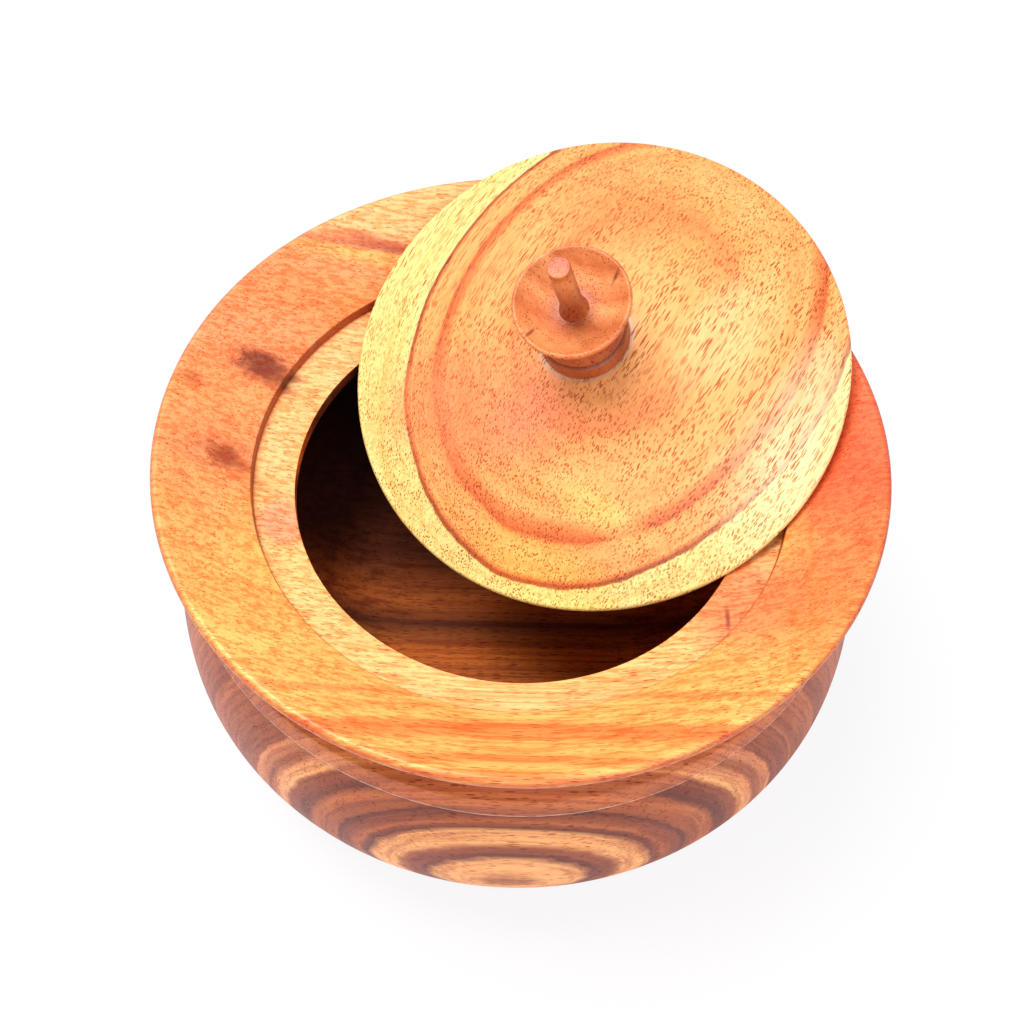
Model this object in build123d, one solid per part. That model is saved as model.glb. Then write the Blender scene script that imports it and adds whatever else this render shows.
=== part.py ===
from build123d import *
import math
import os

# A turned wooden bowl with a wide dished rim, and a loose turned lid with a knob.
# Lengths in mm, angles in degrees. The origin is the centre of the foot, Z is the
# bowl's turning axis, and -Y is the side from which the lid is seen leaning back.

# Bowl, outside
bowl_height = 115.0
rim_radius = 100.0
rim_nose_radius = 1.9
foot_radius = 48.0
foot_height = 3.0
belly_radius = 100.8
belly_height = 50.0
belly_core_radius = 6.0
arris_radius = 95.9
arris_height = 84.3
arris_step = 1.2
band_height = 6.7
band_set_back = 1.4
cove_depth = 6.5
lip_undercut = 4.0

# Bowl, rim and lid seat
rim_drop = 13.8
recess_radius = 74.7
recess_depth = 3.1
mouth_radius = 63.3
seat_drop = 3.5
mouth_land = 4.0

# Bowl, inside
wall_thickness = 14.0
floor_thickness = 13.0
floor_flat_radius = 26.0
hollow_height = 52.0

# Lid, in its own frame: Z along its turning axis, zero at the middle of its edge
lid_play = 3.4
lid_edge_thickness = 2.6
dome_height = 23.6
dome_crown = 2.4
knob_seat_ease = 0.8
bevel_width = 17.3
bevel_depth = 8.3
underside_land = 8.0
underside_hollow = 9.0

# Knob, heights above the lid
collar_radius = 12.4
collar_height = 6.0
collar_groove = 0.7
bead_radius = 11.9
bead_height = 3.2
neck_radius = 10.6
disc_radius = 15.75
disc_height = 24.6
disc_edge_thickness = 1.8
dish_depth = 5.4
pin_radius = 3.0
pin_foot_radius = 3.9
pin_height = 44.7
tenon_radius = 5.0
tenon_length = 11.0
mortise_clearance = 0.12
mortise_end_gap = 1.0

# How the lid lies on the open bowl: slid towards the back right and leaning on the mouth
lean_angle = 21.4
lean_azimuth = 57.0
lean_offset = 37.8
lean_clearance = 0.3

# Edges that are eased with abrasive
edge_ease = 0.6


def eased(face, points, radius):
    """The profile with the corners at the given points rounded."""
    corners = []
    for vertex in face.vertices():
        for r, z in points:
            if abs(vertex.X - r) < 0.01 and abs(vertex.Z - z) < 0.01:
                corners.append(vertex)
    return fillet(corners, radius)


# Heights that follow from the sizes
nose_height = bowl_height - rim_nose_radius
recess_top = bowl_height - rim_drop
seat_height = recess_top - recess_depth
mouth_height = seat_height - seat_drop
lid_radius = recess_radius - lid_play


def make_bowl():
    shoulder_radius = arris_radius - arris_step
    shoulder_height = arris_height - arris_step
    band_radius = arris_radius - band_set_back
    band_top = arris_height + band_height
    nose_inner = rim_radius - rim_nose_radius
    lip_bottom = bowl_height - 2 * rim_nose_radius
    lip_radius = nose_inner - lip_undercut
    cove_radius = min(band_radius, lip_radius) - cove_depth

    # The lower body is a quarter ellipse that ends on the foot
    belly_reach = belly_radius - belly_core_radius
    foot_angle = math.degrees(math.acos((foot_radius - belly_core_radius) / belly_reach))
    belly_fall = (belly_height - foot_height) / math.sin(math.radians(foot_angle))

    outside = [
        Line((0, 0), (foot_radius, 0)),
        Line((foot_radius, 0), (foot_radius, foot_height)),
        EllipticalCenterArc((belly_core_radius, belly_height), belly_reach, belly_fall, -foot_angle,
                            arc_size=foot_angle),
        TangentArc((belly_radius, belly_height), (shoulder_radius, shoulder_height), tangent=(0, 1)),
        Line((shoulder_radius, shoulder_height), (arris_radius, arris_height)),
        Line((arris_radius, arris_height), (band_radius, band_top)),
        ThreePointArc((band_radius, band_top), (cove_radius, (band_top + lip_bottom) / 2), (lip_radius, lip_bottom)),
        Line((lip_radius, lip_bottom), (nose_inner, lip_bottom)),
        ThreePointArc((nose_inner, lip_bottom), (rim_radius, nose_height), (nose_inner, bowl_height)),
        Line((nose_inner, bowl_height), (recess_radius, recess_top)),
    ]
    seat = [
        Line((recess_radius, recess_top), (recess_radius, seat_height)),
        Line((recess_radius, seat_height), (mouth_radius, mouth_height)),
    ]
    hollow_radius = belly_radius - wall_thickness
    land_bottom = mouth_height - mouth_land
    hollow_reach = hollow_radius - floor_flat_radius
    hollow_fall = hollow_height - floor_thickness
    inside = [
        Line((mouth_radius, mouth_height), (mouth_radius, land_bottom)),
        TangentArc((hollow_radius, hollow_height), (mouth_radius, land_bottom), tangent=(0, 1)),
        EllipticalCenterArc((floor_flat_radius, hollow_height), hollow_reach, hollow_fall, -90, arc_size=90),
        Line((floor_flat_radius, floor_thickness), (0, floor_thickness)),
        Line((0, floor_thickness), (0, 0)),
    ]
    profile = make_face(Plane.XZ * Wire(outside + seat + inside))
    sharp = [(mouth_radius, mouth_height), (recess_radius, recess_top)]
    return revolve(eased(profile, sharp, edge_ease), Axis.Z)


def make_lid():
    half_edge = lid_edge_thickness / 2
    edge_radius = lid_radius - half_edge
    knob_seat = collar_radius + knob_seat_ease
    chord = Vector(knob_seat - edge_radius, dome_height - half_edge)
    crown = Vector(edge_radius, half_edge) + chord / 2 + Vector(chord.Y, -chord.X).normalized() * dome_crown
    bevel_radius = edge_radius - bevel_width
    bottom = -half_edge - bevel_depth
    hollow_edge = bevel_radius - underside_land
    profile = Wire([
        Line((0, dome_height), (knob_seat, dome_height)),
        ThreePointArc((knob_seat, dome_height), crown, (edge_radius, half_edge)),
        ThreePointArc((edge_radius, half_edge), (lid_radius, 0), (edge_radius, -half_edge)),
        Line((edge_radius, -half_edge), (bevel_radius, bottom)),
        Line((bevel_radius, bottom), (hollow_edge, bottom)),
        TangentArc((0, bottom + underside_hollow), (hollow_edge, bottom), tangent=(1, 0)),
        Line((0, bottom + underside_hollow), (0, dome_height)),
    ])
    lid = revolve(make_face(Plane.XZ * profile), Axis.Z)
    mortise_depth = tenon_length + mortise_end_gap
    mortise = Cylinder(tenon_radius + mortise_clearance, mortise_depth, align=(Align.CENTER, Align.CENTER, Align.MAX))
    return lid - Pos(0, 0, dome_height) * mortise


def make_knob():
    bead_bottom = collar_height + collar_groove
    bead_top = bead_bottom + bead_height
    disc_bottom = disc_height - disc_edge_thickness
    edge_inner = disc_radius - disc_edge_thickness / 2
    dish_bottom = disc_height - dish_depth
    dish_middle = ((edge_inner + pin_foot_radius) / 2, disc_height - 0.72 * dish_depth)
    neck_height = bead_top + (disc_bottom - bead_top) / 3
    profile = Wire([
        Line((0, -tenon_length), (tenon_radius, -tenon_length)),
        Line((tenon_radius, -tenon_length), (tenon_radius, 0)),
        Line((tenon_radius, 0), (collar_radius, 0)),
        Line((collar_radius, 0), (collar_radius, collar_height - collar_groove)),
        Line((collar_radius, collar_height - collar_groove), (collar_radius - 2 * collar_groove, collar_height)),
        Line((collar_radius - 2 * collar_groove, collar_height), (bead_radius - collar_groove, bead_bottom)),
        ThreePointArc((bead_radius - collar_groove, bead_bottom), (bead_radius, bead_bottom + bead_height / 2),
                      (bead_radius - collar_groove, bead_top)),
        ThreePointArc((bead_radius - collar_groove, bead_top), (neck_radius, neck_height), (edge_inner, disc_bottom)),
        ThreePointArc((edge_inner, disc_bottom), (disc_radius, disc_height - disc_edge_thickness / 2),
                      (edge_inner, disc_height)),
        ThreePointArc((edge_inner, disc_height), dish_middle, (pin_foot_radius, dish_bottom)),
        Line((pin_foot_radius, dish_bottom), (pin_radius, dish_bottom + dish_depth)),
        Line((pin_radius, dish_bottom + dish_depth), (pin_radius, pin_height)),
        Line((pin_radius, pin_height), (0, pin_height)),
        Line((0, pin_height), (0, -tenon_length)),
    ])
    face = make_face(Plane.XZ * profile)
    return revolve(eased(face, [(pin_radius, pin_height)], edge_ease), Axis.Z)


def underside(radius):
    """Height of the lid's underside above the middle of its edge, in the lid's frame."""
    half_edge = lid_edge_thickness / 2
    edge_radius = lid_radius - half_edge
    if radius > edge_radius:
        return -math.sqrt(max(0.0, half_edge ** 2 - (radius - edge_radius) ** 2))
    slope = bevel_depth / bevel_width
    return -half_edge - slope * min(edge_radius - radius, bevel_width)


def lid_gap(centre_height):
    """Least distance, along the lid's axis, from the bowl's rim and seat to the lid."""
    tilt = math.radians(lean_angle)
    turn = math.radians(lean_azimuth)
    rings = [
        (mouth_radius, mouth_height),
        ((mouth_radius + recess_radius) / 2, (mouth_height + seat_height) / 2),
        (recess_radius, seat_height),
        (recess_radius, recess_top),
        ((recess_radius + rim_radius) / 2, (recess_top + bowl_height) / 2),
        (rim_radius - rim_nose_radius, bowl_height),
        (rim_radius, nose_height),
    ]
    gaps = []
    for ring_radius, height in rings:
        for step in range(360):
            angle = math.radians(step) + turn
            x = ring_radius * math.cos(angle - turn) - lean_offset
            y = ring_radius * math.sin(angle - turn)
            z = height - centre_height
            along = x * math.cos(tilt) + z * math.sin(tilt)
            up = z * math.cos(tilt) - x * math.sin(tilt)
            radius = math.hypot(along, y)
            if radius < lid_radius:
                gaps.append(underside(radius) - up)
    return min(gaps)


def lean_height():
    """Height of the lid's centre at which it just clears the bowl that it lies on."""
    low = 0.0
    high = bowl_height + lid_radius
    for _ in range(50):
        middle = (low + high) / 2
        if lid_gap(middle) < lean_clearance:
            low = middle
        else:
            high = middle
    return high


def lid_place():
    tilt = math.radians(lean_angle)
    turn = math.radians(lean_azimuth)
    centre = (lean_offset * math.cos(turn), lean_offset * math.sin(turn), lean_height())
    axis = (-math.sin(tilt) * math.cos(turn), -math.sin(tilt) * math.sin(turn), math.cos(tilt))
    uphill = (math.cos(tilt) * math.cos(turn), math.cos(tilt) * math.sin(turn), math.sin(tilt))
    return Plane(origin=centre, x_dir=uphill, z_dir=axis).location


os.makedirs("parts", exist_ok=True)

place = lid_place()
print("lid centre", place.position)

export_step(make_bowl(), "parts/bowl.step")
export_step(place * make_lid(), "parts/lid.step")
export_step(place * Pos(0, 0, dome_height) * make_knob(), "parts/knob.step")
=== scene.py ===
import bpy
import math
from mathutils import Matrix, Vector


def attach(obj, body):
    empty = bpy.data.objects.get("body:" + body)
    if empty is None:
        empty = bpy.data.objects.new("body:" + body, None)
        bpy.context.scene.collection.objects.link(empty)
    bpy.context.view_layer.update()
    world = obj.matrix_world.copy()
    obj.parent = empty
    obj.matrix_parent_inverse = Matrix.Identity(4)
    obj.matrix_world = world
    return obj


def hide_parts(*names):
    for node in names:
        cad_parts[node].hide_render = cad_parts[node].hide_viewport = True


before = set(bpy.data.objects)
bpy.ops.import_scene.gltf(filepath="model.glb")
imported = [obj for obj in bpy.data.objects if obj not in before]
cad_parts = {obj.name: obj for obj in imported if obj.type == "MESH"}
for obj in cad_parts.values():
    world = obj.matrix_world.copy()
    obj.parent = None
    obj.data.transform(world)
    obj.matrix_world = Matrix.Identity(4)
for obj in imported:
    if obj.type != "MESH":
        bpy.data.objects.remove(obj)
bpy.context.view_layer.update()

mm = 0.001


# Shader maths. A Wire is a node's output that adds and multiplies like a number.
class Wire:
    def __init__(self, finish, socket):
        self.finish = finish
        self.socket = socket

    def maths(self, operation, first, second=0.0):
        return self.finish.node("ShaderNodeMath", {"operation": operation}, {0: first, 1: second})

    def other(self, output):
        return Wire(self.finish, self.socket.node.outputs[output])

    def __add__(self, other):
        return self.maths("ADD", self, other)

    def __radd__(self, other):
        return self.maths("ADD", other, self)

    def __sub__(self, other):
        return self.maths("SUBTRACT", self, other)

    def __rsub__(self, other):
        return self.maths("SUBTRACT", other, self)

    def __mul__(self, other):
        return self.maths("MULTIPLY", self, other)

    def __rmul__(self, other):
        return self.maths("MULTIPLY", other, self)

    def __truediv__(self, other):
        return self.maths("DIVIDE", self, other)

    def __pow__(self, other):
        return self.maths("POWER", self, other)

    # 0 below low and 1 above high, smooth between
    def step(self, low, high):
        sockets = {0: self, 1: low, 2: high, 3: 0.0, 4: 1.0}
        return self.finish.node("ShaderNodeMapRange", {"interpolation_type": "SMOOTHSTEP"}, sockets)

    # 1 at the centre, falling smoothly to 0 at this width to either side
    def near(self, centre, width):
        away = self.maths("ABSOLUTE", self - centre)
        return 1.0 - away.step(0.0, width)

    # noise lies about a half, and this brings its middle to 0
    def centred(self):
        return self - 0.5


# The nodes of a material or of the world, round the shader that it starts with
class Finish:
    def __init__(self, owner, shader):
        owner.use_nodes = True
        self.owner = owner
        self.tree = owner.node_tree
        self.shader = self.tree.nodes[shader]

    def node(self, kind, settings, sockets, output=0):
        made = self.tree.nodes.new(kind)
        for key, value in settings.items():
            if key == "stops":
                self.setStops(made.color_ramp, value)
            else:
                setattr(made, key, value)
        for key, value in sockets.items():
            if isinstance(value, Wire):
                self.tree.links.new(value.socket, made.inputs[key])
            else:
                made.inputs[key].default_value = value
        return Wire(self, made.outputs[output])

    def setStops(self, ramp, stops):
        while len(ramp.elements) < len(stops):
            ramp.elements.new(0.5)
        for element, (place, colour) in zip(ramp.elements, stops):
            element.position = place
            element.color = solid(colour)

    def blend(self, factor, first, second, way="MIX"):
        settings = {"data_type": "RGBA", "blend_type": way}
        sockets = {0: factor, 6: solid(first), 7: solid(second)}
        return self.node("ShaderNodeMix", settings, sockets, 2)

    def noise(self, vector, scale, pattern):
        sockets = {"Vector": vector, "Scale": scale}
        sockets.update({"Detail": pattern["detail"], "Roughness": pattern["roughness"]})
        return self.node("ShaderNodeTexNoise", {}, sockets)

    def objectPlace(self):
        return self.node("ShaderNodeTexCoord", {}, {}, "Object")

    def vector(self, x, y, z):
        return self.node("ShaderNodeCombineXYZ", {}, {0: x, 1: y, 2: z})

    def vectorMaths(self, operation, sockets, output=0):
        return self.node("ShaderNodeVectorMath", {"operation": operation}, sockets, output)

    # the vector as measured in a frame that lies at this place with this turn
    def inFrame(self, vector, place, turn):
        sockets = {"Vector": vector, "Location": place, "Rotation": turn}
        return self.node("ShaderNodeMapping", {"vector_type": "TEXTURE"}, sockets)

    def feed(self, name, value):
        if isinstance(value, Wire):
            self.tree.links.new(value.socket, self.shader.inputs[name])
        else:
            self.shader.inputs[name].default_value = value

    # the camera sees this share of the glow over the shader, and other rays meet the shader alone
    def glowForCamera(self, glow, share=None):
        factor = self.node("ShaderNodeLightPath", {}, {}, "Is Camera Ray")
        if share is not None:
            factor = factor * share
        plain = Wire(self, self.shader.outputs[0])
        mixed = self.node("ShaderNodeMixShader", {}, {0: factor, 1: plain, 2: glow})
        self.tree.links.new(mixed.socket, self.tree.get_output_node("ALL").inputs["Surface"])


def solid(colour):
    return colour if isinstance(colour, Wire) else (*colour, 1.0)


def newMaterial(name):
    return Finish(bpy.data.materials.new(name), "Principled BSDF")


# Profiles are lists of points, radius then height, in millimetres. Each stretch leaves out its own start.
def throughThree(first, middle, last, count):
    # the arc of a circle from first through middle to last
    ax, az = first
    bx, bz = middle
    cx, cz = last
    firstSquare = ax * ax + az * az
    middleSquare = bx * bx + bz * bz
    lastSquare = cx * cx + cz * cz
    twist = 2 * (ax * (bz - cz) + bx * (cz - az) + cx * (az - bz))
    ux = (firstSquare * (bz - cz) + middleSquare * (cz - az) + lastSquare * (az - bz)) / twist
    uz = (firstSquare * (cx - bx) + middleSquare * (ax - cx) + lastSquare * (bx - ax)) / twist
    radius = math.hypot(ax - ux, az - uz)
    full = 2 * math.pi
    start = math.atan2(az - uz, ax - ux)
    sweep = (math.atan2(cz - uz, cx - ux) - start) % full
    if (math.atan2(bz - uz, bx - ux) - start) % full > sweep:
        sweep -= full
    angles = [start + sweep * i / count for i in range(1, count + 1)]
    return [(ux + radius * math.cos(angle), uz + radius * math.sin(angle)) for angle in angles]


def ovalArc(centre, reach, fall, startAngle, endAngle, count):
    sweep = endAngle - startAngle
    angles = [math.radians(startAngle + sweep * i / count) for i in range(1, count + 1)]
    return [(centre[0] + reach * math.cos(angle), centre[1] + fall * math.sin(angle)) for angle in angles]


def risingArc(low, high, count):
    # the arc of a circle that starts upright at the low point and ends at the high one
    rise = high[1] - low[1]
    inward = low[0] - high[0]
    radius = (rise * rise + inward * inward) / (2 * inward)
    turn = math.degrees(math.asin(rise / radius))
    return ovalArc((low[0] - radius, low[1]), radius, radius, 0, turn, count)


def straight(start, end, count):
    steps = [i / count for i in range(1, count + 1)]
    return [(start[0] + (end[0] - start[0]) * t, start[1] + (end[1] - start[1]) * t) for t in steps]


# What the turned pieces share, in millimetres and degrees
lathe = {
    "blank": 10.0, "weld": 0.004, "sliver": 0.001,
    "easeAngle": 22, "easeSegments": 3, "smoothAngle": 35,
}


def clearSelection():
    bpy.ops.object.select_all(action="DESELECT")


def turnOnLathe(name, profile, steps, edgeEase):
    # a point is drawn out along the profile and spun round the Z axis
    clearSelection()
    bpy.ops.mesh.primitive_plane_add(size=lathe["blank"] * mm, location=(0, 0, 0))
    piece = bpy.context.object
    piece.name = name
    bpy.ops.object.mode_set(mode="EDIT")
    bpy.ops.mesh.select_all(action="SELECT")
    bpy.ops.mesh.merge(type="CENTER")
    spot = (0.0, 0.0)
    for number, (radius, height) in enumerate(profile):
        shift = ((radius - spot[0]) * mm, 0, (height - spot[1]) * mm)
        if number == 0:
            bpy.ops.transform.translate(value=shift)
        else:
            bpy.ops.mesh.extrude_region_move(TRANSFORM_OT_translate={"value": shift})
        spot = (radius, height)
    bpy.ops.mesh.select_all(action="SELECT")
    bpy.ops.mesh.spin(steps=steps, angle=2 * math.pi, center=(0, 0, 0), axis=(0, 0, 1))
    bpy.ops.mesh.select_all(action="SELECT")
    bpy.ops.mesh.remove_doubles(threshold=lathe["weld"] * mm)
    bpy.ops.mesh.dissolve_degenerate(threshold=lathe["sliver"] * mm)
    bpy.ops.mesh.select_all(action="SELECT")
    bpy.ops.mesh.normals_make_consistent(inside=False)
    bpy.ops.object.mode_set(mode="OBJECT")
    bevel = piece.modifiers.new("easedEdges", "BEVEL")
    bevel.limit_method = "ANGLE"
    bevel.angle_limit = math.radians(lathe["easeAngle"])
    bevel.width = edgeEase * mm
    bevel.segments = lathe["easeSegments"]
    bpy.ops.object.modifier_apply(modifier=bevel.name)
    bpy.ops.object.shade_smooth_by_angle(angle=math.radians(lathe["smoothAngle"]))
    return piece


def settle(piece, place):
    # the piece's place goes into its mesh
    clearSelection()
    piece.select_set(True)
    bpy.context.view_layer.objects.active = piece
    piece.matrix_world = place
    bpy.ops.object.transform_apply(location=True, rotation=True, scale=True)


def give(piece, finish):
    piece.data.materials.clear()
    piece.data.materials.append(finish.owner)


# Patterns that all the wood shares. A stretch is the pattern's rate along the grain, against 1 across it,
# and a span is where the pattern starts to show and where it shows in full.
woodGrain = {
    "slow": {"stretch": 0.35, "detail": 2.0, "roughness": 0.5},
    "quick": {"stretch": 0.12, "detail": 3.0, "roughness": 0.6},
    "line": {
        "stretch": 0.006, "rate": 0.9, "flatten": 0.86,
        "detail": 4.0, "roughness": 0.65, "span": (0.42, 0.62),
    },
    "mottle": {"stretch": 0.35, "scale": 0.09, "detail": 4.0, "roughness": 0.6, "span": (0.40, 0.68)},
    "fibre": {"stretch": 0.09, "scale": 2.4, "detail": 3.0, "roughness": 0.7, "span": (0.42, 0.70)},
    "clump": {"stretch": 0.25, "scale": 0.16, "detail": 2.0, "roughness": 0.5, "span": (0.3, 0.6)},
    "cloud": {"stretch": 0.25, "detail": 4.0, "roughness": 0.6},
    "pore": {"smallest": 0.55, "spread": 0.45, "cutoff": 0.02, "sparse": 0.55, "clumped": 0.45},
    "surface": {
        "fibreRoughness": 0.12, "poreRoughness": 0.25, "coatRoughness": 0.22,
        "fibreHeight": 0.25, "bumpStrength": 0.45, "bumpDepth": 0.15,
    },
}
# A reach that takes in the whole piece
everywhere = 100000.0


# A patch is a place on a piece where the wood's colour changes, its centre and reach in the piece's own
# frame and millimetres. It is full as far as the inner share of the reach and gone at the reach. Cloud
# makes its edge uneven. With a ring, it shows only this near to the reach instead.
def patch(centre, reach, colour, amount, way="MULTIPLY", inner=0.2, cloud=0.5, cloudScale=0.06, ring=0.0):
    names = ("centre", "reach", "colour", "amount", "way", "inner", "cloud", "cloudScale", "ring")
    return dict(zip(names, (centre, reach, colour, amount, way, inner, cloud, cloudScale, ring)))


def patchMask(finish, inPiece, inLog, spot):
    away = finish.vectorMaths("SUBTRACT", {0: inPiece, 1: spot["centre"]})
    away = finish.vectorMaths("DIVIDE", {0: away, 1: spot["reach"]})
    away = finish.vectorMaths("LENGTH", {0: away}, "Value")
    drawn = finish.vectorMaths("MULTIPLY", {0: inLog, 1: (woodGrain["cloud"]["stretch"], 1.0, 1.0)})
    cloud = finish.noise(drawn, spot["cloudScale"], woodGrain["cloud"])
    away = away + cloud.centred() * spot["cloud"]
    if spot["ring"]:
        return away.near(1.0, spot["ring"])
    return 1.0 - away.step(spot["inner"], 1.0)


# Wood. A look's log lies in the piece's own frame: X along the grain, and its rings round the heart, each
# a distance from it in millimetres and the wood's colour there.
def woodFinish(name, look):
    finish = newMaterial(name)
    log = look["log"]
    inPiece = finish.inFrame(finish.objectPlace(), look["place"].translation, look["place"].to_euler())
    inPiece = finish.vectorMaths("SCALE", {0: inPiece, 3: 1.0 / mm})
    logTurn = (0.0, math.radians(log["dip"]), math.radians(log["yaw"]))
    inLog = finish.inFrame(inPiece, log["heart"], logTurn)
    along = finish.node("ShaderNodeSeparateXYZ", {}, {0: inLog})
    across = along.other(1)
    through = along.other(2)

    def drawnOut(pattern, scale):
        return finish.noise(finish.vector(along * pattern["stretch"], across, through), scale, pattern)

    def stain(colour, pattern, kind):
        amount = pattern.step(*woodGrain[kind]["span"]) * look[kind + "Amount"]
        return finish.blend(amount, colour, look[kind + "Colour"], "MULTIPLY")

    # the rings wander a little along the log, and their edges are ragged
    slow = drawnOut(woodGrain["slow"], look["wanderScale"])
    quick = drawnOut(woodGrain["quick"], look["raggedScale"])
    radius = (across * across + through * through) ** 0.5
    radius = radius + slow.centred() * look["wander"] + quick.centred() * look["ragged"]

    first = look["rings"][0][0]
    last = look["rings"][-1][0]
    stops = [((distance - first) / (last - first), colour) for distance, colour in look["rings"]]
    colour = finish.node("ShaderNodeValToRGB", {"stops": stops}, {0: (radius - first) / (last - first)})

    # broad changes of colour over the piece
    for spot in look["patches"]:
        amount = patchMask(finish, inPiece, inLog, spot) * spot["amount"]
        colour = finish.blend(amount, colour, spot["colour"], spot["way"])

    # fine lines drawn out along the grain, which follow the rings where fineRings is 1
    line = woodGrain["line"]
    fine = radius * look["fineRings"] + across * (1.0 - look["fineRings"])
    depth = through * (line["rate"] - line["flatten"] * look["fineRings"])
    drawn = finish.vector(along * line["stretch"], fine * line["rate"], depth)
    lines = finish.noise(drawn, look["lineScale"], line)
    colour = stain(colour, lines, "line")
    colour = stain(colour, drawnOut(woodGrain["mottle"], woodGrain["mottle"]["scale"]), "mottle")
    fibre = drawnOut(woodGrain["fibre"], woodGrain["fibre"]["scale"])
    colour = stain(colour, fibre, "fibre")

    # pores: slender hollows that lie along the grain, dashes on the side and dots on the end
    general = woodGrain["pore"]
    pores = None
    for pore in look["pores"]:
        cell = finish.vector(along / pore["length"], across / pore["width"], through / pore["width"])
        away = finish.node("ShaderNodeTexVoronoi", {"feature": "F1"}, {"Vector": cell, "Scale": 1.0})
        lot = finish.node("ShaderNodeSeparateColor", {}, {0: away.other("Color")})
        size = lot * general["spread"] + general["smallest"]
        size = size * lot.step(pore["missing"], pore["missing"] + general["cutoff"]) * pore["size"]
        dark = (size - away).step(0.0, pore["soft"]) * pore["strength"]
        pores = dark if pores is None else pores.maths("MAXIMUM", pores, dark)
    clump = drawnOut(woodGrain["clump"], woodGrain["clump"]["scale"]).step(*woodGrain["clump"]["span"])
    pores = pores * (general["sparse"] + clump * general["clumped"])
    colour = finish.blend(pores, colour, finish.blend(1.0, colour, look["poreColour"], "MULTIPLY"))

    surface = woodGrain["surface"]
    roughness = look["roughness"] + fibre * surface["fibreRoughness"] + pores * surface["poreRoughness"]
    bump = {"Strength": surface["bumpStrength"], "Distance": surface["bumpDepth"] * mm}
    bump["Height"] = fibre * surface["fibreHeight"] - pores
    finish.feed("Base Color", colour)
    finish.feed("Roughness", roughness)
    finish.feed("Coat Weight", look["coat"])
    finish.feed("Coat Roughness", surface["coatRoughness"])
    finish.feed("Specular IOR Level", look["gloss"])
    finish.feed("Normal", finish.node("ShaderNodeBump", {}, bump))
    return finish


# The bowl, in millimetres above the surface that it stands on
bowlSizes = {
    "height": 115.0, "rim": 100.0, "nose": 1.9, "foot": 48.0, "footHeight": 3.0,
    "belly": 100.8, "bellyHeight": 50.0, "bellyCore": 6.0,
    "arris": 95.9, "arrisHeight": 84.3, "arrisStep": 1.2, "bandHeight": 6.7, "bandSetBack": 1.4,
    "coveDepth": 6.5, "lipUndercut": 4.0, "rimDrop": 13.8, "recess": 74.7, "recessDepth": 3.1,
    "mouth": 63.3, "seatDrop": 3.5, "mouthLand": 4.0,
    "wall": 14.0, "floor": 13.0, "floorFlat": 26.0, "hollowHeight": 52.0,
    "steps": 288, "edgeEase": 0.35,
    # points along each stretch of the profile
    "count": {
        "foot": 8, "footSide": 2, "belly": 30, "shoulder": 14, "band": 3, "cove": 18, "lip": 2, "nose": 10,
        "rim": 12, "recess": 3, "seat": 6, "land": 3, "hollow": 16, "hollowFoot": 24, "floor": 5,
    },
    # the underside takes the outside's wood up to this height, and the outside's ends this far above the lip
    "underside": 1.0, "lipMargin": 0.8,
}


def bowlLevels(s):
    recess = s["height"] - s["rimDrop"]
    seat = recess - s["recessDepth"]
    mouth = seat - s["seatDrop"]
    return {"recess": recess, "seat": seat, "mouth": mouth, "lip": s["height"] - 2 * s["nose"]}


def makeBowl(s):
    level = bowlLevels(s)
    count = s["count"]
    foot = (s["foot"], 0)
    belly = (s["belly"], s["bellyHeight"])
    reach = s["belly"] - s["bellyCore"]
    footAngle = math.degrees(math.acos((s["foot"] - s["bellyCore"]) / reach))
    fall = (s["bellyHeight"] - s["footHeight"]) / math.sin(math.radians(footAngle))
    shoulder = (s["arris"] - s["arrisStep"], s["arrisHeight"] - s["arrisStep"])
    arris = (s["arris"], s["arrisHeight"])
    band = (s["arris"] - s["bandSetBack"], s["arrisHeight"] + s["bandHeight"])
    noseInner = s["rim"] - s["nose"]
    lip = (noseInner - s["lipUndercut"], level["lip"])
    cove = (min(band[0], lip[0]) - s["coveDepth"], (band[1] + lip[1]) / 2)
    noseBottom = (noseInner, level["lip"])
    noseTop = (noseInner, s["height"])
    recess = (s["recess"], level["recess"])
    seat = (s["recess"], level["seat"])
    mouth = (s["mouth"], level["mouth"])
    land = (s["mouth"], level["mouth"] - s["mouthLand"])
    hollow = (s["belly"] - s["wall"], s["hollowHeight"])
    floorCore = (s["floorFlat"], s["hollowHeight"])
    floorReach = hollow[0] - s["floorFlat"]
    floorFall = s["hollowHeight"] - s["floor"]

    profile = [(0, 0)]
    profile += straight((0, 0), foot, count["foot"])
    profile += straight(foot, (s["foot"], s["footHeight"]), count["footSide"])
    profile += ovalArc((s["bellyCore"], s["bellyHeight"]), reach, fall, -footAngle, 0, count["belly"])
    profile += risingArc(belly, shoulder, count["shoulder"]) + [arris]
    profile += straight(arris, band, count["band"])
    profile += throughThree(band, cove, lip, count["cove"])
    profile += straight(lip, noseBottom, count["lip"])
    profile += throughThree(noseBottom, (s["rim"], s["height"] - s["nose"]), noseTop, count["nose"])
    profile += straight(noseTop, recess, count["rim"])
    profile += straight(recess, seat, count["recess"])
    profile += straight(seat, mouth, count["seat"])
    profile += straight(mouth, land, count["land"])
    profile += list(reversed(risingArc(hollow, land, count["hollow"])))[1:] + [hollow]
    profile += ovalArc(floorCore, floorReach, floorFall, 0, -90, count["hollowFoot"])
    profile += straight((s["floorFlat"], s["floor"]), (0, s["floor"]), count["floor"])
    return turnOnLathe("turnedBowl", profile, s["steps"], s["edgeEase"])


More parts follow.
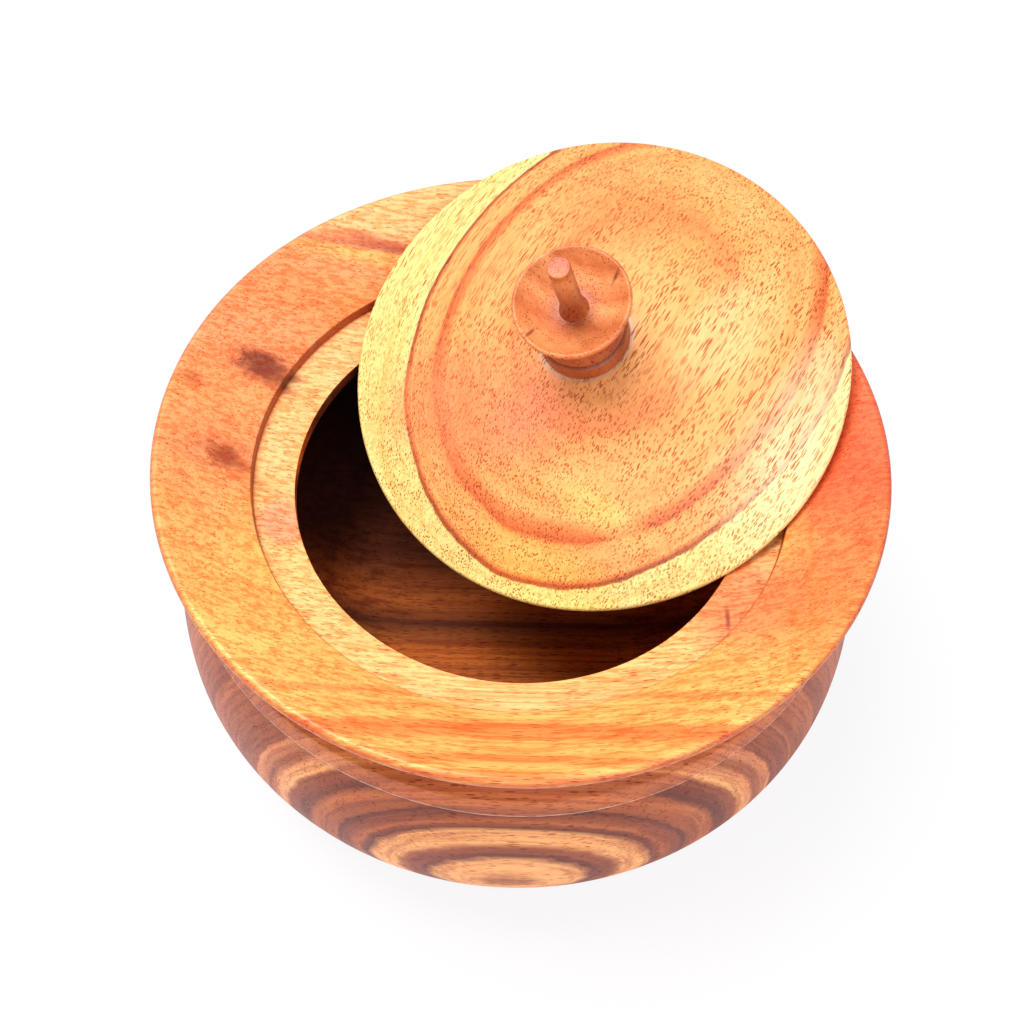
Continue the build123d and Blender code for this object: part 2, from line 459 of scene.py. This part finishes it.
bowlLog = {"heart": (0, -215, 50), "yaw": 1.2, "dip": 0.0}
yellow = (0.95, 0.57, 0.16)
honey = (0.94, 0.47, 0.125)
orange = (0.90, 0.29, 0.07)
salmon = (0.90, 0.34, 0.135)
bowlTopLook = {
    "place": Matrix.Identity(4), "log": bowlLog, "fineRings": 0.0,
    "wanderScale": 0.012, "wander": 3.0, "raggedScale": 0.35, "ragged": 0.9,
    "rings": [
        (130.0, orange), (132.4, yellow), (134.4, orange), (136.2, yellow), (138.3, orange),
        (140.5, yellow), (142.4, honey), (143.6, orange), (146.2, (0.84, 0.25, 0.06)), (148.0, yellow),
        (150.6, honey), (152.5, yellow), (154.6, orange), (156.0, yellow), (158.0, honey),
        (166.0, yellow), (178.0, honey), (190.0, yellow), (206.0, honey), (222.0, salmon),
        (240.0, honey), (258.0, salmon), (276.0, orange), (288.0, salmon), (293.5, honey),
        (295.3, (0.50, 0.15, 0.09)), (296.6, salmon),
        (299.0, (0.95, 0.60, 0.28)), (312.0, (0.95, 0.55, 0.22)), (330.0, honey),
    ],
    "patches": [
        # the redder, darker colour at the right of the rim, and the pinker colour at its left
        patch((92, 8, 108), (34, 62, everywhere), (0.82, 0.135, 0.045), 0.88, "MIX", inner=0.3),
        patch((80, -42, 108), (30, 34, everywhere), (0.88, 0.235, 0.065), 0.75, "MIX", inner=0.1),
        patch((-80, 30, 108), (42, 62, everywhere), (0.91, 0.34, 0.15), 0.7, "MIX", inner=0.3),
        patch((-88, -28, 108), (22, 34, everywhere), (0.92, 0.36, 0.13), 0.55, "MIX", inner=0.2),
        # the paler ledge, with two darker places on it
        patch((0, 0, 96), (74.9, 74.9, everywhere), (0.93, 0.64, 0.27), 0.72, "MIX",
              inner=0.985, cloud=0.0),
        patch((60, -38, 96), (19, 26, everywhere), (0.83, 0.26, 0.10), 0.85, "MIX", inner=0.3),
        patch((-65, -18, 96), (9.5, 11, everywhere), (0.80, 0.35, 0.20), 0.85, "MIX", inner=0.4),
        # smudges on the rim, and a short dark crack on the ledge
        patch((-75, 29, 105), (13, 7, everywhere), (0.28, 0.16, 0.17), 1.0,
              inner=0.25, cloud=1.3, cloudScale=0.25),
        patch((-81.5, -3, 105), (11, 8, everywhere), (0.42, 0.25, 0.2), 0.95,
              inner=0.15, cloud=1.4, cloudScale=0.25),
        patch((-93, 18, 113), (5, 4, everywhere), (0.62, 0.45, 0.40), 0.8,
              inner=0.1, cloud=0.9, cloudScale=0.2),
        patch((-47, 75.5, 110), (24, 3.0, everywhere), (0.55, 0.34, 0.36), 0.8,
              inner=0.1, cloud=0.8, cloudScale=0.2),
        patch((56.5, -43, 97), (1.1, 6.5, everywhere), (0.35, 0.16, 0.14), 0.9,
              inner=0.1, cloud=0.6, cloudScale=0.4),
        # painted shade: darker lines round the recess's edge and on the rim's rounded nose
        patch((0, 0, 99.6), (74.72, 74.72, everywhere), (0.34, 0.13, 0.07), 0.9, cloud=0.0, ring=0.006),
        patch((0, 0, 113), (99.9, 99.9, everywhere), (0.62, 0.34, 0.24), 0.8, cloud=0.0, ring=0.012),
    ],
    "lineScale": 1.0, "lineAmount": 0.9, "lineColour": (0.90, 0.52, 0.32),
    "mottleAmount": 0.5, "mottleColour": (0.95, 0.68, 0.50),
    "fibreAmount": 0.45, "fibreColour": (0.90, 0.72, 0.56),
    "pores": [
        {"length": 5.0, "width": 0.62, "size": 0.40, "missing": 0.35, "soft": 0.12, "strength": 0.9},
        {"length": 2.6, "width": 0.42, "size": 0.40, "missing": 0.3, "soft": 0.16, "strength": 0.55},
    ],
    "poreColour": (0.60, 0.30, 0.17), "roughness": 0.36, "coat": 0.12, "gloss": 0.45,
}

# The outside's ring colours are the wood's rings, darkened in part by painted shade where the body faces
# away from the light
paleSide = (0.97, 0.47, 0.16)
tanSide = (0.84, 0.33, 0.12)
faintSide = (0.58, 0.165, 0.04)
shadedBrownSide = (0.36, 0.086, 0.021)
shadedDarkSide = (0.20, 0.043, 0.015)
bowlSideShadedLook = dict(bowlTopLook)
bowlSideShadedLook.update({
    "wander": 2.2, "ragged": 1.3, "raggedScale": 0.22, "fineRings": 1.0,
    "rings": [
        (112.0, shadedBrownSide), (114.1, shadedBrownSide), (114.7, paleSide), (116.0, paleSide), (116.8, shadedDarkSide),
        (118.3, shadedBrownSide), (119.3, paleSide), (121.2, paleSide), (122.0, shadedDarkSide), (123.0, shadedBrownSide),
        (123.4, faintSide), (123.8, shadedBrownSide), (126.3, shadedDarkSide), (126.6, faintSide), (126.9, shadedBrownSide),
        (129.8, faintSide), (131.4, shadedDarkSide), (135.2, shadedBrownSide), (136.0, paleSide), (138.6, tanSide),
        (139.6, shadedBrownSide), (143.7, tanSide), (144.2, shadedBrownSide), (150.2, shadedBrownSide), (150.7, faintSide),
        (151.3, shadedBrownSide), (160.4, faintSide), (161.2, shadedBrownSide), (176.0, faintSide), (215.0, shadedDarkSide),
    ],
    "patches": [
        # painted light on the warmer band above the arris, and painted shade in the cove under the rim
        patch((0, 0, 92), (everywhere, everywhere, 9), (0.74, 0.20, 0.035), 0.6, "MIX",
              inner=0.5, cloud=0.3),
        patch((0, 0, 102), (everywhere, everywhere, 8.5), (0.40, 0.25, 0.20), 0.9, inner=0.4, cloud=0.2),
        # a painted highlight along the arris and a painted shadow just below it, each a level 1000 mm above
        # its centre
        patch((0, 0, -915.7), (everywhere, everywhere, 1000), (0.95, 0.62, 0.40), 0.75, "MIX",
              cloud=0.0, ring=0.0009),
        patch((0, 0, -917.4), (everywhere, everywhere, 1000), (0.45, 0.26, 0.2), 0.7,
              cloud=0.0, ring=0.0012),
    ],
    "lineAmount": 0.75, "lineColour": (0.60, 0.42, 0.36),
    "poreColour": (0.48, 0.24, 0.16), "roughness": 0.42, "coat": 0.06, "gloss": 0.32,
})

# The inside's ring colours are the wood's rings, darkened in part by painted shade inside the hollow
warmInside = (0.84, 0.225, 0.027)
midInside = (0.70, 0.175, 0.027)
shadedDeepInside = (0.20, 0.045, 0.013)
bowlInsideShadedLook = dict(bowlTopLook)
bowlInsideShadedLook.update({
    "wander": 4.0, "ragged": 1.6,
    "rings": [
        (130.0, midInside), (150.0, warmInside), (160.0, midInside), (166.0, warmInside),
        (170.0, shadedDeepInside), (172.0, warmInside), (178.0, midInside), (181.0, warmInside),
        (186.0, midInside), (189.0, shadedDeepInside), (192.0, warmInside), (200.0, midInside),
        (206.0, warmInside), (216.0, shadedDeepInside), (224.0, midInside), (240.0, shadedDeepInside),
        (300.0, shadedDeepInside),
    ],
    "patches": [
        # painted shadow of the lid and the rim on the inside, darkest at the back and at the left
        patch((-20, 92, 50), (everywhere, 68, everywhere), (0.07, 0.05, 0.08), 1.0, inner=0.5, cloud=0.3),
        patch((-76, 34, 50), (36, 34, everywhere), (0.25, 0.18, 0.2), 0.8, cloud=0.4),
    ],
    "lineScale": 0.5, "lineAmount": 0.8, "lineColour": (0.50, 0.32, 0.26),
    "fibreAmount": 0.6, "fibreColour": (0.62, 0.48, 0.40),
    "poreColour": (0.35, 0.2, 0.15), "roughness": 0.5, "coat": 0.0, "gloss": 0.25,
})


def bowlPart(face, s):
    # which of the three finishes a face takes: 0 rim and ledge, 1 outside and underside, 2 inside; 1 and 2
    # are the wood darkened in part by painted shade
    level = bowlLevels(s)
    outward = face.center.x * face.normal.x + face.center.y * face.normal.y
    height = face.center.z / mm
    if outward > 0:
        return 1 if height < level["lip"] + s["lipMargin"] else 0
    if height < level["mouth"]:
        return 2 if height > s["underside"] else 1
    return 0


bowl = makeBowl(bowlSizes)
bowlLooks = {"bowlTopWood": bowlTopLook, "bowlSideWoodAndShade": bowlSideShadedLook, "bowlInsideWoodAndShade": bowlInsideShadedLook}
for name, look in bowlLooks.items():
    bowl.data.materials.append(woodFinish(name, look).owner)
for face in bowl.data.polygons:
    face.material_index = bowlPart(face, bowlSizes)
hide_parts("bowl")
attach(bowl, "bowl")
print("bowl turned")


# The lid, in its own frame: Z along its turning axis, zero at the middle of its edge
lidSizes = {
    "radius": 71.3, "edge": 2.6, "dome": 23.6, "crown": 2.4, "knobSeat": 13.2,
    "bevelWidth": 17.3, "bevelDepth": 8.3, "land": 8.0, "hollow": 9.0,
    "mortise": 5.12, "mortiseDepth": 12.0, "steps": 256, "edgeEase": 0.3,
    # points along each stretch of the profile
    "count": {"mortise": 3, "knobSeat": 3, "dome": 30, "edge": 10, "bevel": 8, "land": 4, "hollow": 16},
}
# How the lid lies on the open bowl: degrees, and millimetres in the bowl's frame
lean = {"angle": 21.4, "azimuth": 57.0, "centre": (20.587, 31.702, 107.743)}


def leanPlace(s):
    tilt = math.radians(s["angle"])
    turn = math.radians(s["azimuth"])
    uphill = Vector((math.cos(tilt) * math.cos(turn), math.cos(tilt) * math.sin(turn), math.sin(tilt)))
    axis = Vector((-math.sin(tilt) * math.cos(turn), -math.sin(tilt) * math.sin(turn), math.cos(tilt)))
    place = Matrix((uphill, axis.cross(uphill), axis)).transposed().to_4x4()
    place.translation = Vector(s["centre"]) * mm
    return place


def makeLid(s):
    count = s["count"]
    half = s["edge"] / 2
    edge = s["radius"] - half
    # the dome is an arc whose middle stands out from its chord by the crown
    chordX = s["knobSeat"] - edge
    chordZ = s["dome"] - half
    length = math.hypot(chordX, chordZ)
    crownX = edge + chordX / 2 + chordZ / length * s["crown"]
    crownZ = half + chordZ / 2 - chordX / length * s["crown"]
    bottom = -half - s["bevelDepth"]
    mortiseFloor = s["dome"] - s["mortiseDepth"]
    mortiseCorner = (s["mortise"], mortiseFloor)
    mortiseTop = (s["mortise"], s["dome"])
    knobSeat = (s["knobSeat"], s["dome"])
    bevel = (edge - s["bevelWidth"], bottom)
    hollowEdge = (bevel[0] - s["land"], bottom)
    hollowTop = (0, bottom + s["hollow"])

    profile = [(0, mortiseFloor), mortiseCorner]
    profile += straight(mortiseCorner, mortiseTop, count["mortise"])
    profile += straight(mortiseTop, knobSeat, count["knobSeat"])
    profile += throughThree(knobSeat, (crownX, crownZ), (edge, half), count["dome"])
    profile += throughThree((edge, half), (s["radius"], 0), (edge, -half), count["edge"])
    profile += straight((edge, -half), bevel, count["bevel"])
    profile += straight(bevel, hollowEdge, count["land"])
    hollow = throughThree(hollowEdge, hollowTop, (-hollowEdge[0], bottom), 2 * count["hollow"])
    profile += hollow[:count["hollow"]]
    return turnOnLathe("turnedLid", profile, s["steps"], s["edgeEase"])


leaning = leanPlace(lean)
sapWood = (0.96, 0.77, 0.29)
sapDeep = (0.94, 0.67, 0.21)
heartWood = (0.93, 0.385, 0.11)
heartPale = (0.94, 0.46, 0.15)
heartDeep = (0.88, 0.27, 0.075)
ringLine = (0.40, 0.10, 0.028)
# The heart of the log that the lid was cut from lies above the lid
lidLook = {
    "place": leaning, "log": {"heart": (0, -10.4, 144.8), "yaw": 2.3, "dip": 6.6}, "fineRings": 0.0,
    "rings": [
        (112.0, heartWood), (121.0, heartPale), (123.4, heartWood), (126.0, heartDeep), (127.5, heartWood),
        (132.0, heartPale), (135.5, heartWood), (137.4, heartPale), (138.8, heartDeep),
        (140.7, (0.62, 0.135, 0.035)), (141.4, heartWood), (143.6, heartPale), (145.4, heartWood),
        (146.2, heartPale), (146.9, heartDeep), (147.35, ringLine), (147.9, ringLine), (148.2, sapWood),
        (150.4, sapWood), (151.0, sapDeep), (151.8, sapWood), (155.0, sapDeep), (156.0, sapWood),
        (175.0, sapWood),
    ],
    "wanderScale": 0.03, "wander": 3.4, "raggedScale": 0.3, "ragged": 0.8,
    "patches": [
        patch((-33, 22, 14), (26, 36, everywhere), (0.88, 0.255, 0.105), 0.75, "MIX", cloud=0.6),
        patch((-28, 2, 14), (20, 19, everywhere), (0.86, 0.26, 0.12), 0.75, "MIX", inner=0.1, cloud=0.6),
        patch((-38, -27, 14), (9, 20, everywhere), (0.96, 0.68, 0.20), 0.65, "MIX", inner=0.1, cloud=0.9),
        patch((40, 16, 14), (28, 28, everywhere), (0.90, 0.30, 0.085), 0.75, "MIX", cloud=0.6),
        patch((22, -32, 14), (30, 17, everywhere), (0.96, 0.66, 0.30), 0.65, "MIX", inner=0.1, cloud=0.7),
        # paler colour at two places near the edge
        patch((6, -62, 10), (48, 22, everywhere), (0.97, 0.86, 0.55), 0.6, "MIX", inner=0.1, cloud=0.6),
        patch((-62, -24, 4), (16, 32, everywhere), (1.0, 0.80, 0.42), 0.4, "OVERLAY",
              inner=0.3, cloud=0.3),
        # the line of glue round the knob, and painted shadow of the knob beside it
        patch((0, 0, 20), (12.9, 12.9, everywhere), (0.62, 0.56, 0.50), 0.9, "MIX",
              cloud=0.04, cloudScale=0.6, ring=0.035),
        patch((0, 0, 20), (15.0, 15.0, everywhere), (0.60, 0.34, 0.22), 0.35, inner=0.75, cloud=0.2),
    ],
    "lineScale": 0.9, "lineAmount": 0.45, "lineColour": (0.92, 0.66, 0.48),
    "mottleAmount": 0.35, "mottleColour": (0.95, 0.76, 0.60),
    "fibreAmount": 0.4, "fibreColour": (0.90, 0.74, 0.56),
    "pores": [
        {"length": 8.0, "width": 0.60, "size": 0.42, "missing": 0.15, "soft": 0.07, "strength": 1.0},
        {"length": 4.5, "width": 0.48, "size": 0.41, "missing": 0.2, "soft": 0.09, "strength": 0.9},
    ],
    "poreColour": (0.52, 0.22, 0.085), "roughness": 0.36, "coat": 0.12, "gloss": 0.45,
}

lid = makeLid(lidSizes)
settle(lid, leaning)
give(lid, woodFinish("lidWood", lidLook))
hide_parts("lid")
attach(lid, "lid")
print("lid turned")


# The knob, in millimetres, its heights above the top of the lid
knobSizes = {
    "collar": 12.4, "collarHeight": 6.0, "groove": 0.7, "bead": 11.9, "beadHeight": 3.2, "neck": 10.6,
    "disc": 15.75, "discHeight": 24.6, "discEdge": 1.8, "dish": 5.4, "dishCurve": 0.72, "pin": 3.0,
    "pinFoot": 3.9, "pinHeight": 44.7, "tenon": 5.0, "tenonLength": 11.0, "steps": 160, "edgeEase": 0.3,
    # points along each stretch of the profile
    "count": {
        "collarFoot": 3, "collar": 3, "bead": 8, "flare": 18,
        "discEdge": 10, "dish": 16, "pinFoot": 4, "pin": 6,
    },
}


def makeKnob(s):
    count = s["count"]
    groove = s["groove"]
    tenon = (s["tenon"], 0)
    collar = (s["collar"], 0)
    collarTop = (s["collar"], s["collarHeight"] - groove)
    beadSide = s["bead"] - groove
    beadBottom = s["collarHeight"] + groove
    beadTop = beadBottom + s["beadHeight"]
    beadMiddle = (s["bead"], (beadBottom + beadTop) / 2)
    # the flare passes the neck's radius a third of the way up to the disc
    discBottom = s["discHeight"] - s["discEdge"]
    neck = (s["neck"], beadTop + (discBottom - beadTop) / 3)
    discInner = s["disc"] - s["discEdge"] / 2
    discLow = (discInner, discBottom)
    discMiddle = (s["disc"], s["discHeight"] - s["discEdge"] / 2)
    discTop = (discInner, s["discHeight"])
    dishMiddle = ((discInner + s["pinFoot"]) / 2, s["discHeight"] - s["dishCurve"] * s["dish"])
    dishBottom = s["discHeight"] - s["dish"]
    pinFoot = (s["pinFoot"], dishBottom)
    pinSide = (s["pin"], dishBottom + s["dish"])

    profile = [(0, -s["tenonLength"]), (s["tenon"], -s["tenonLength"]), tenon]
    profile += straight(tenon, collar, count["collarFoot"])
    profile += straight(collar, collarTop, count["collar"])
    profile += [(s["collar"] - 2 * groove, s["collarHeight"]), (beadSide, beadBottom)]
    profile += throughThree((beadSide, beadBottom), beadMiddle, (beadSide, beadTop), count["bead"])
    profile += throughThree((beadSide, beadTop), neck, discLow, count["flare"])
    profile += throughThree(discLow, discMiddle, discTop, count["discEdge"])
    profile += throughThree(discTop, dishMiddle, pinFoot, count["dish"])
    profile += straight(pinFoot, pinSide, count["pinFoot"])
    profile += straight(pinSide, (s["pin"], s["pinHeight"]), count["pin"])
    profile += [(s["pin"] / 2, s["pinHeight"]), (0, s["pinHeight"])]
    return turnOnLathe("turnedKnob", profile, s["steps"], s["edgeEase"])


knobPlace = leaning @ Matrix.Translation((0, 0, lidSizes["dome"] * mm))
knobLook = {
    "place": knobPlace, "log": {"heart": (48, 12, 0), "yaw": 20.0, "dip": 84.0}, "fineRings": 0.6,
    "rings": [
        (30.0, (0.80, 0.30, 0.10)), (36.0, (0.62, 0.17, 0.045)), (39.0, (0.84, 0.34, 0.12)),
        (44.0, (0.68, 0.20, 0.055)), (47.0, (0.86, 0.36, 0.13)), (52.0, (0.60, 0.16, 0.045)),
        (58.0, (0.82, 0.30, 0.10)), (70.0, (0.66, 0.20, 0.06)),
    ],
    "wanderScale": 0.03, "wander": 2.0, "raggedScale": 0.5, "ragged": 1.0,
    "patches": [
        # painted shade below the disc, in the groove above the collar, and round the pin's foot
        patch((0, 0, 4), (everywhere, everywhere, 17), (0.62, 0.42, 0.34), 0.9, inner=0.7, cloud=0.1),
        patch((0, 0, 6.3), (everywhere, everywhere, 1.1), (0.35, 0.2, 0.15), 0.9, cloud=0.1),
        patch((0, 0, 24), (8.0, 8.0, 17), (0.42, 0.23, 0.15), 0.95, cloud=0.4),
        # the pin's tip, a little darker
        patch((0, 0, 46), (6, 6, 6), (0.74, 0.48, 0.26), 0.9, inner=0.6, cloud=0.3, cloudScale=0.5),
        # small checks in the dish
        patch((-12.5, 5, 23), (3.2, 0.8, everywhere), (0.3, 0.18, 0.16), 0.9,
              inner=0.1, cloud=0.8, cloudScale=0.5),
        patch((11.5, -6, 23), (3.0, 0.8, everywhere), (0.3, 0.18, 0.16), 0.9,
              inner=0.1, cloud=0.8, cloudScale=0.5),
    ],
    "lineScale": 1.0, "lineAmount": 0.4, "lineColour": (0.84, 0.56, 0.42),
    "mottleAmount": 0.6, "mottleColour": (0.84, 0.58, 0.42),
    "fibreAmount": 0.45, "fibreColour": (0.88, 0.70, 0.58),
    "pores": [
        {"length": 3.0, "width": 0.6, "size": 0.38, "missing": 0.25, "soft": 0.12, "strength": 0.95},
        {"length": 1.6, "width": 0.40, "size": 0.38, "missing": 0.3, "soft": 0.15, "strength": 0.6},
    ],
    "poreColour": (0.42, 0.2, 0.12), "roughness": 0.38, "coat": 0.10, "gloss": 0.4,
}

knob = makeKnob(knobSizes)
settle(knob, knobPlace)
give(knob, woodFinish("knobWood", knobLook))
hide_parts("knob")
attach(knob, "lid")
print("knob turned")


# Floor, light and camera, with lengths in metres
studio = {
    "floorSize": 6.0, "floorColour": (0.94, 0.89, 0.96), "floorRoughness": 0.7,
    "floorGlow": 0.86, "floorReach": (0.35, 1.1), "white": (1.0, 1.0, 1.0),
    "worldColour": (0.97, 0.975, 1.0), "worldStrength": 0.42,
    "aim": (0, 0, 0.08),
    "lamps": [
        {"name": "keyLight", "place": (-0.36, 0.10, 1.3), "size": 0.7, "power": 18.4},
        {"name": "fillLight", "place": (0.45, -1.0, 0.9), "size": 1.2, "power": 9.0},
    ],
}


def addFloor(s):
    bpy.ops.mesh.primitive_plane_add(size=s["floorSize"], location=(0, 0, 0))
    floor = bpy.context.object
    floor.name = "floor"
    finish = newMaterial("paleFloor")
    finish.feed("Base Color", solid(s["floorColour"]))
    finish.feed("Roughness", s["floorRoughness"])
    glow = finish.node("ShaderNodeEmission", {}, {"Color": solid(s["white"]), "Strength": 1.0})
    # far off the floor runs into the white air
    far = finish.vectorMaths("LENGTH", {0: finish.objectPlace()}, "Value").step(*s["floorReach"])
    finish.glowForCamera(glow, s["floorGlow"] + far * (1.0 - s["floorGlow"]))
    give(floor, finish)


def addWorld(s):
    air = Finish(bpy.data.worlds.new("studioAir"), "Background")
    bpy.context.scene.world = air.owner
    air.feed("Color", solid(s["worldColour"]))
    air.feed("Strength", s["worldStrength"])
    air.glowForCamera(air.node("ShaderNodeBackground", {}, {"Color": solid(s["white"]), "Strength": 1.0}))


def addLamp(s, aim):
    bpy.ops.object.light_add(type="AREA", location=s["place"])
    lamp = bpy.context.object
    lamp.name = s["name"]
    lamp.data.size = s["size"]
    lamp.data.energy = s["power"]
    toBowl = Vector(aim) - Vector(s["place"])
    lamp.rotation_euler = toBowl.to_track_quat("-Z", "Y").to_euler()


# The photograph's view: a close camera, high in front of the bowl, with its angles in degrees
view = {
    "place": (0.0, -0.23457, 0.43711), "sensor": 36.0, "lens": 51.62,
    "pitch": 56.813, "yaw": -0.499, "roll": 2.005,
}


def addCamera(s):
    bpy.ops.object.camera_add(location=s["place"])
    camera = bpy.context.object
    camera.data.sensor_width = s["sensor"]
    camera.data.lens = s["lens"]
    pitch = math.radians(s["pitch"])
    yaw = math.radians(s["yaw"])
    forward = Vector((math.sin(yaw) * math.cos(pitch), math.cos(yaw) * math.cos(pitch), -math.sin(pitch)))
    right = forward.cross(Vector((0, 0, 1))).normalized()
    level = Matrix((right, right.cross(forward), -forward)).transposed().to_4x4()
    roll = Matrix.Rotation(math.radians(s["roll"]), 4, "Z")
    camera.matrix_world = Matrix.Translation(s["place"]) @ level @ roll
    bpy.context.scene.camera = camera


addFloor(studio)
addWorld(studio)
for lamp in studio["lamps"]:
    addLamp(lamp, studio["aim"])
addCamera(view)
bpy.context.scene.view_settings.view_transform = "Standard"
print("studio set")
